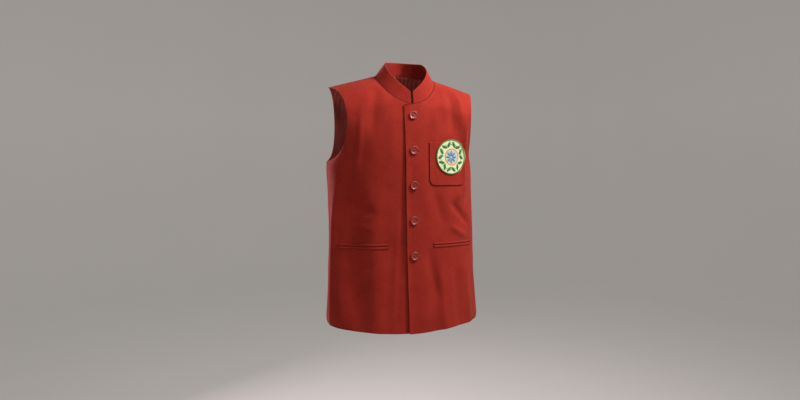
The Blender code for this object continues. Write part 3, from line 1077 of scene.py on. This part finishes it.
@dataclass
class Buttons:
    """The five buttons, with their threads and buttonholes.

    Attributes:
        count: How many there are.
        profile: Radii and heights in millimetres, from the middle of the back to the middle of the face.
        sides: How many steps it is turned in.
        hole_spread: How far each thread hole lies from the middle, across and up.
        hole_radius: The radius of a thread hole.
        slit: Where a buttonhole starts and ends, out from the button's middle.
        bar: The reach of its stitches over and under the slit.
        stitch_pitch: The distance between them.
        rounding: How far its sharp edges are rounded.
        thread: The thickness of its sewing.
        thread_shift: How far its two threads each way lie from the middle.
        thread_lift: How high they lie over its back.
    """

    count: int = 5
    profile: tuple[Spot, ...] = (
        *((0.0, 0.0), (7.8, 0.1), (9.8, 0.5), (11.0, 1.2), (11.5, 2.1)),
        *((11.3, 2.8), (10.7, 3.3), (9.9, 3.5), (9.1, 3.3), (8.5, 2.8)),
        *((7.9, 2.3), (7.0, 2.0), (5.0, 1.8), (0.0, 1.7)),
    )
    sides: int = 72
    hole_spread: float = 0.0019
    hole_radius: float = 0.00105
    slit: Spot = (-0.003, 0.0180)
    bar: float = 0.0022
    stitch_pitch: float = 0.00085
    rounding: float = 0.00016
    thread: float = 0.0006
    thread_shift: float = 0.00022
    thread_lift: float = 0.0019

    def turned_form(self) -> Mesh:
        """One button with its thread holes, its back on Z 0."""
        profile = [(radius / MILLIMETRES, height / MILLIMETRES) for radius, height in self.profile]
        button = added("button_blank", spun(profile, self.sides))
        drill_form = bmesh.new()
        bit = {"segments": 20, "radius1": self.hole_radius, "radius2": self.hole_radius, "depth": 0.01}
        for x, y in ((1, 1), (1, -1), (-1, 1), (-1, -1)):
            place = Matrix.Translation((x * self.hole_spread, y * self.hole_spread, 0))
            bmesh.ops.create_cone(drill_form, cap_ends=True, matrix=place, **bit)
        drill = added("drill", drill_form)
        cut = button.modifiers.new("thread_holes", "BOOLEAN")
        cut.object = drill
        cut.operation = "DIFFERENCE"
        rounded(button, self.rounding, 55)
        settled(button)
        mesh = button.data.copy()
        bpy.data.objects.remove(button)
        bpy.data.objects.remove(drill)
        return mesh

    def place(self, mesh: Mesh, node: str, seat_on: Matrix, cloths: Cloths) -> None:
        """Sets one button and its threads on the cloth."""
        form = bmesh.new()
        form.from_mesh(mesh)
        bmesh.ops.transform(form, matrix=seat_on, verts=form.verts)
        made = added(f"{node}_resin", form, cloths.resin)
        made.data.set_sharp_from_angle(angle=math.radians(38))
        enter(made, node)
        reach = 2 * math.sqrt(2) * self.hole_spread + 2 * self.thread
        crossed = []
        for side in (1, -1):
            turn = Matrix.Rotation(side * math.pi / 4, 4, "Z")
            for shift in (-self.thread_shift, self.thread_shift):
                place = Matrix.Translation((shift, -shift * side, self.thread_lift))
                crossed.append(seat_on @ place @ turn)
        Stitch(reach, self.thread, self.thread).sew(f"{node}_thread", crossed, cloths.sewing)

    def buttonhole(self, number: int, x: float, z: float, ground: Ground, cloths: Cloths) -> None:
        """Sews one level buttonhole, from under the button out past its rim.

        Args:
            number: The button's number, from the top.
            x: The X of the button's middle.
            z: Its height.
            ground: The front's outer face.
            cloths: The finishes.
        """
        start, end = x + self.slit[0], x + self.slit[1]
        steps = int((end - start) / self.stitch_pitch)
        out = self.bar / 2
        places = []
        for step in range(steps + 1):
            across = start + (end - start) * step / steps
            for side in (1, -1):
                places.append(ground.turned(across, z + side * out, math.pi / 2, 0.0001))
        for step in range(7):
            angle = math.pi * (step / 6 - 0.5)
            tip_x, tip_z = end + out * math.cos(angle), z + out * math.sin(angle)
            places.append(ground.turned(tip_x, tip_z, angle, 0.0001))
        bars = Stitch(self.bar, 0.00085, 0.0005)
        bars.sew(f"buttonhole_{number}_stitches", places, cloths.sewing)
        # Painted shade: a dark thread lies along the slit, where its opening would be in shade.
        middle = ground.turned((start + end) / 2, z, 0.0, 0.0002)
        Stitch(end - start, 0.0007, 0.0004).sew(f"buttonhole_{number}_slit", [middle], cloths.shadow)

    def build(self, ground: Ground, cloths: Cloths) -> None:
        """Sews the buttonholes and sets the buttons on them."""
        mesh = self.turned_form()
        for number in range(1, self.count + 1):
            node = f"button_{number}"
            low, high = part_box(node)
            x, z = (low.x + high.x) / 2, (low.z + high.z) / 2
            self.buttonhole(number, x, z, ground, cloths)
            self.place(mesh, node, ground.turned(x, z, 0.0, 0.0005), cloths)
        bpy.data.meshes.remove(mesh)
        LOG.info("%d buttons with their buttonholes", self.count)


@dataclass
class Badge:
    """The round badge: pale twill with an embroidered wreath round a rosette, and an overlocked edge.

    Attributes:
        radius: The badge's radius.
        leaves: How many leaves are in the wreath.
        petals: How many petals are in the rosette.
        edge_stitches: How many threads wrap its edge.
    """

    radius: float = 0.0480
    leaves: int = 14
    petals: int = 8
    edge_stitches: int = 200

    def ring(self, centre: Spot, ground: Ground, radius: float, count: int, turn: float) -> list[Matrix]:
        """Places round the badge's middle.

        Args:
            centre: The X and Z of the middle.
            ground: The badge's face.
            radius: How far out the places lie.
            count: How many there are.
            turn: How far each is turned from pointing outwards.

        Returns:
            The places.
        """
        places = []
        squeeze = math.sqrt(1 - ground.touch(*centre)[1].x ** 2)
        for step in range(count):
            angle = 2 * math.pi * step / count
            x = centre[0] + radius * math.cos(angle) * squeeze
            z = centre[1] + radius * math.sin(angle)
            places.append(ground.turned(x, z, angle + turn * (1 if step % 2 else -1)))
        return places

    def build(self, ground: Ground, cloths: Cloths) -> None:
        """Embroiders the badge's face and wraps its edge."""
        low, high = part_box("badge")
        centre = ((low.x + high.x) / 2, (low.z + high.z) / 2)
        edge = self.ring(centre, ground, self.radius - 0.0016, self.edge_stitches, 0.0)
        Stitch(0.0042, 0.0015, 0.0011).sew("badge_overlock", edge, cloths.border)
        leaves = self.ring(centre, ground, self.radius * 0.72, self.leaves, 0.62)
        Stitch(0.0205, 0.0086, 0.0013).sew("badge_leaves", leaves, cloths.leaf)
        stem = self.ring(centre, ground, self.radius * 0.72, 96, math.pi / 2)
        Stitch(0.0034, 0.0010, 0.0009).sew("badge_stem", stem, cloths.border)
        petals = self.ring(centre, ground, self.radius * 0.215, self.petals, 0.0)
        Stitch(0.0165, 0.0062, 0.0013).sew("badge_rosette", petals, cloths.petal)
        LOG.info("badge with %d leaves", self.leaves)


@dataclass
class Studio:
    """The pale floor, the soft lights and the camera.

    Attributes:
        eye: Where the camera stands.
        yaw: How far it is turned from looking along +Y.
        lens: Its focal length for a 36 mm sensor.
        shift: Its vertical shift.
        floor_z: The floor's height.
        floor_radius: How far the flat floor reaches.
        bend: The radius of the bend from the floor to the wall.
        wall_top: The wall's height over the floor.
    """

    eye: tuple[float, float, float] = (-0.4557, -1.4774, -0.2866)
    yaw: float = math.radians(-17)
    lens: float = 24.345
    shift: float = -0.0275
    floor_z: float = -1.42
    floor_radius: float = 4.5
    bend: float = 2.0
    wall_top: float = 5.0

    def camera(self) -> None:
        """Adds the camera, at the photograph's viewing angle."""
        made = bpy.data.objects.new("camera", bpy.data.cameras.new("camera"))
        made.location = self.eye
        made.rotation_euler = (math.pi / 2, 0, self.yaw)
        made.data.lens = self.lens
        made.data.sensor_width = 36
        made.data.shift_y = self.shift
        bpy.context.scene.collection.objects.link(made)
        bpy.context.scene.camera = made

    def floor(self, cloths: Cloths) -> None:
        """Adds the floor, which rises to a wall far from the jacket on every side."""
        flat, bend = self.floor_radius, self.bend
        turns = np.linspace(0.1, math.pi / 2, 10)
        curve = [(flat + bend * math.sin(turn), bend - bend * math.cos(turn)) for turn in turns]
        profile = [(0.0, 0.0), (flat, 0.0), *curve, (flat + bend, self.wall_top)]
        form = spun([(radius, self.floor_z + height) for radius, height in profile], 64)
        bmesh.ops.reverse_faces(form, faces=form.faces)
        added("floor", form, cloths.floor)

    def lamp(self, name: str, place: Vector, aim: Vector, size: float, power: float, colour: Colour) -> None:
        """Adds one soft lamp.

        Args:
            name: Its name.
            place: Where it stands.
            aim: What it points at.
            size: Its width and height.
            power: Its power in watts.
            colour: Its colour.
        """
        data = bpy.data.lights.new(name, "AREA")
        data.size = size
        data.energy = power
        data.color = colour
        made = bpy.data.objects.new(name, data)
        made.location = place
        made.rotation_euler = (aim - place).to_track_quat("-Z", "Y").to_euler()
        bpy.context.scene.collection.objects.link(made)

    def lights(self) -> None:
        """Adds the lamps: a key from the upper right, a weak fill in front and a rim light from the left."""
        ahead = Vector((-math.sin(self.yaw), math.cos(self.yaw), 0))
        right = Vector((ahead.y, -ahead.x, 0))
        aim = Vector((0, 0, -0.22))
        up = Vector((0, 0, 1))
        key = aim - ahead * 0.30 + right * 0.92 + up * 1.02
        fill = aim - ahead * 1.2 + right * 0.55 + up * 1.5
        rim = aim + ahead * 0.85 - right * 1.25 + up * 0.05
        self.lamp("key", key, aim + up * 0.1, 0.32, 28, (1.0, 0.96, 0.92))
        self.lamp("fill", fill, aim + up * 0.3, 0.6, 12, (1.0, 0.96, 0.95))
        self.lamp("rim", rim, aim - up * 0.1, 0.5, 25, (1.0, 0.80, 0.87))
        world = bpy.data.worlds.new("studio")
        world.use_nodes = True
        sky = world.node_tree.nodes["Background"].inputs
        sky["Color"].default_value = (1.0, 0.98, 0.97, 1)
        sky["Strength"].default_value = 0.13
        bpy.context.scene.world = world
        bpy.context.scene.view_settings.view_transform = "Standard"

    def build(self, cloths: Cloths) -> None:
        """Sets up the studio."""
        self.camera()
        self.floor(cloths)
        self.lights()


@dataclass
class Jacket:
    """The whole jacket.

    Attributes:
        shell_wall: The CAD thickness of the fronts and the back.
        pocket_mouth_z: The height of the chest pocket's open edge, which has no stitches.
        left_creases: The creases of the wearer's left front, which laps over.
        right_creases: The creases of the wearer's right front.
        back_creases: The creases of the back.
        collar_creases: The creases of the collar.
    """

    shell_wall: float = 0.0020
    pocket_mouth_z: float = -0.1935
    left_creases: tuple[Crease, ...] = (
        Crease((-21, -60), (-19, -400), (-18, -780), 9, 1.8),
        Crease((106, -18), (108, -80), (120, -190), 13, -5),
        Crease((130, -20), (138, -90), (152, -210), 10, 3.4),
        Crease((150, -60), (166, -200), (172, -390), 10, 5.2),
        Crease((60, -90), (64, -150), (58, -230), 16, 2),
        Crease((182, -290), (160, -335), (130, -350), 10, 4.4),
        Crease((105, -345), (150, -385), (200, -430), 11, -5.6),
        Crease((110, -415), (140, -440), (190, -455), 9, 4.2),
        Crease((60, -300), (75, -380), (110, -430), 16, -3.2),
        Crease((44, -470), (60, -540), (80, -660), 16, -5.2),
        Crease((70, -490), (85, -600), (94, -780), 14, 5.2),
        Crease((130, -500), (140, -600), (136, -780), 18, -5),
        Crease((172, -520), (180, -620), (186, -780), 14, 4.4),
    )
    right_creases: tuple[Crease, ...] = (
        Crease((-186, -190), (-168, -420), (-130, -780), 28, -6.6),
        Crease((-228, -260), (-226, -480), (-214, -780), 13, 6.6),
        Crease((-112, -300), (-98, -480), (-86, -780), 20, 3.4),
        Crease((-60, -400), (-54, -560), (-52, -780), 16, -3.6),
        Crease((-32, -60), (-31, -400), (-30, -780), 9, -2.6),
        Crease((-200, -350), (-155, -385), (-95, -378), 11, -4.4),
        Crease((-190, -405), (-150, -425), (-100, -425), 9, 2.6),
        Crease((-190, -505), (-140, -530), (-90, -515), 13, -3.4),
        Crease((-110, -20), (-118, -90), (-130, -190), 14, -4.2),
        Crease((-70, -80), (-76, -150), (-70, -260), 18, 2.4),
        Crease((-150, -80), (-160, -190), (-172, -330), 10, 3.6),
    )
    back_creases: tuple[Crease, ...] = (
        Crease((155, -40), (120, -160), (112, -320), 18, -3.8),
        Crease((-158, -50), (-125, -170), (-118, -330), 20, -3.4),
        Crease((182, -120), (176, -220), (184, -360), 11, 3.4),
        Crease((-184, -110), (-178, -230), (-186, -350), 12, 3.2),
        Crease((30, -372), (85, -400), (185, -376), 12, -3.6),
        Crease((-40, -408), (-105, -428), (-195, -390), 12, -3.2),
        Crease((20, -430), (70, -446), (140, -430), 10, 2.4),
        Crease((74, -480), (82, -600), (86, -800), 18, 3),
        Crease((-60, -490), (-70, -600), (-78, -800), 18, 3),
        Crease((150, -500), (156, -620), (160, -800), 18, -3.2),
        Crease((-160, -480), (-158, -620), (-164, -800), 20, -3),
    )
    collar_creases: tuple[Crease, ...] = (
        Crease((50, -60), (62, -40), (80, -30), 5, -0.9),
        Crease((70, -70), (84, -46), (100, -36), 5, 0.9),
        Crease((-60, -62), (-74, -44), (-92, -34), 5, -0.8),
    )

    def panels(self, nodes: dict[str, Object], cloths: Cloths) -> dict[str, Panel]:
        """Builds the two fronts, the back, its lining and the collar.

        Args:
            nodes: The CAD nodes' objects.
            cloths: The finishes.

        Returns:
            The panels by node.
        """
        shell = {"slot": "cloth", "cad_wall": self.shell_wall, "wall": 0.0017, "ditch": 0.0022}
        front = shell | {"seam_reach": 0.0003, "levels": 3}
        lining = {"slot": "lining", "cad_wall": 0.0010, "wall": 0.0006, "ditch": 0.0026, "square": False}
        collar = {"slot": "cloth", "cad_wall": 0.0028, "wall": 0.0024, "levels": 3, "swell": 0.0003}
        loose = {"tuck": 0.0016, "seams": lambda point: False}
        free, over = {"hold": Hold.HEM_FREE}, {"hold": Hold.LAP_FREE}
        panels = (
            Panel("front_left", creases=self.left_creases, **front, **over),
            Panel("front_right", creases=self.right_creases, **front, **free),
            Panel("back", creases=self.back_creases, seam_reach=-0.0003, steep_cells=True, **shell, **free),
            Panel("lining_back", creases=self.back_creases, **lining),
            Panel("collar", creases=self.collar_creases, **collar, **loose),
        )
        finishes = {"lining_back": [cloths.lining], "collar": [cloths.cloth]}
        for panel in panels:
            finish = finishes.get(panel.node, [cloths.cloth, cloths.lining])
            panel.build(nodes[panel.node], ["collar" if panel.node == "back" else "back"], *finish)
        return {panel.node: panel for panel in panels}

    def pockets(self, nodes: dict[str, Object], panels: dict[str, Panel], cloths: Cloths) -> None:
        """Lays the chest pocket and the lips of the hip pockets on the fronts.

        Args:
            nodes: The CAD nodes' objects.
            panels: The finished panels.
            cloths: The finishes.
        """
        left, right = panels["front_left"].ground, panels["front_right"].ground
        shared = {"slot": "cloth", "cad_wall": 0.0014, "levels": 3}
        # The pockets' sewn edges get the cloth's painted seam shade, which draws their dark outline.
        sewn = {"seams": lambda point: point.z < self.pocket_mouth_z, "seam_shade_scale": 2.2}
        chest = Patch("chest_pocket", wall=0.0015, swell=0.0003, lift=0.0007, **shared, **sewn)
        chest.lay(nodes["chest_pocket"], left, cloths.cloth, "front_left")
        row = edge_row(chest.ground, 0.0018, 0.0031, lambda point: point.z < self.pocket_mouth_z)
        Stitch(0.0023, 0.00048, 0.00028).sew("chest_pocket_stitches", row, cloths.sewing)
        for side, ground in (("left", left), ("right", right)):
            for lip in ("upper", "lower"):
                node = f"hip_pocket_{side}_{lip}"
                strip = Patch(node, wall=0.0006, swell=0.0, lift=-0.0009, crown=0.0024, **shared, **sewn)
                strip.lay(nodes[node], ground, cloths.cloth)

    def build(self, frame: dict[str, Any], cloths: Cloths, badge: Badge) -> None:
        """Builds every piece of the jacket.

        Args:
            frame: The loaded CAD frame.
            cloths: The finishes.
            badge: The badge.
        """
        nodes = frame["nodes"]
        panels = self.panels(nodes, cloths)
        self.pockets(nodes, panels, cloths)
        ground = Patch("badge", "badge", 0.0014, 0.0012, levels=3, swell=0.0, lift=0.0028)
        ground.lay(nodes["badge"], panels["front_left"].ground, cloths.twill)
        badge.build(ground.ground, cloths)
        Buttons().build(panels["front_left"].ground, cloths)


def main() -> None:
    """Loads the frame, and builds the studio and the jacket."""
    logging.basicConfig(level=logging.INFO, format="%(message)s")
    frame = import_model()
    badge = Badge()
    low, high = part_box("badge")
    cloths = Cloths(badge.radius, (low.x + badge.radius, (low.z + high.z) / 2))
    Studio().build(cloths)
    Jacket().build(frame, cloths, badge)


if __name__ == "__main__":
    main()
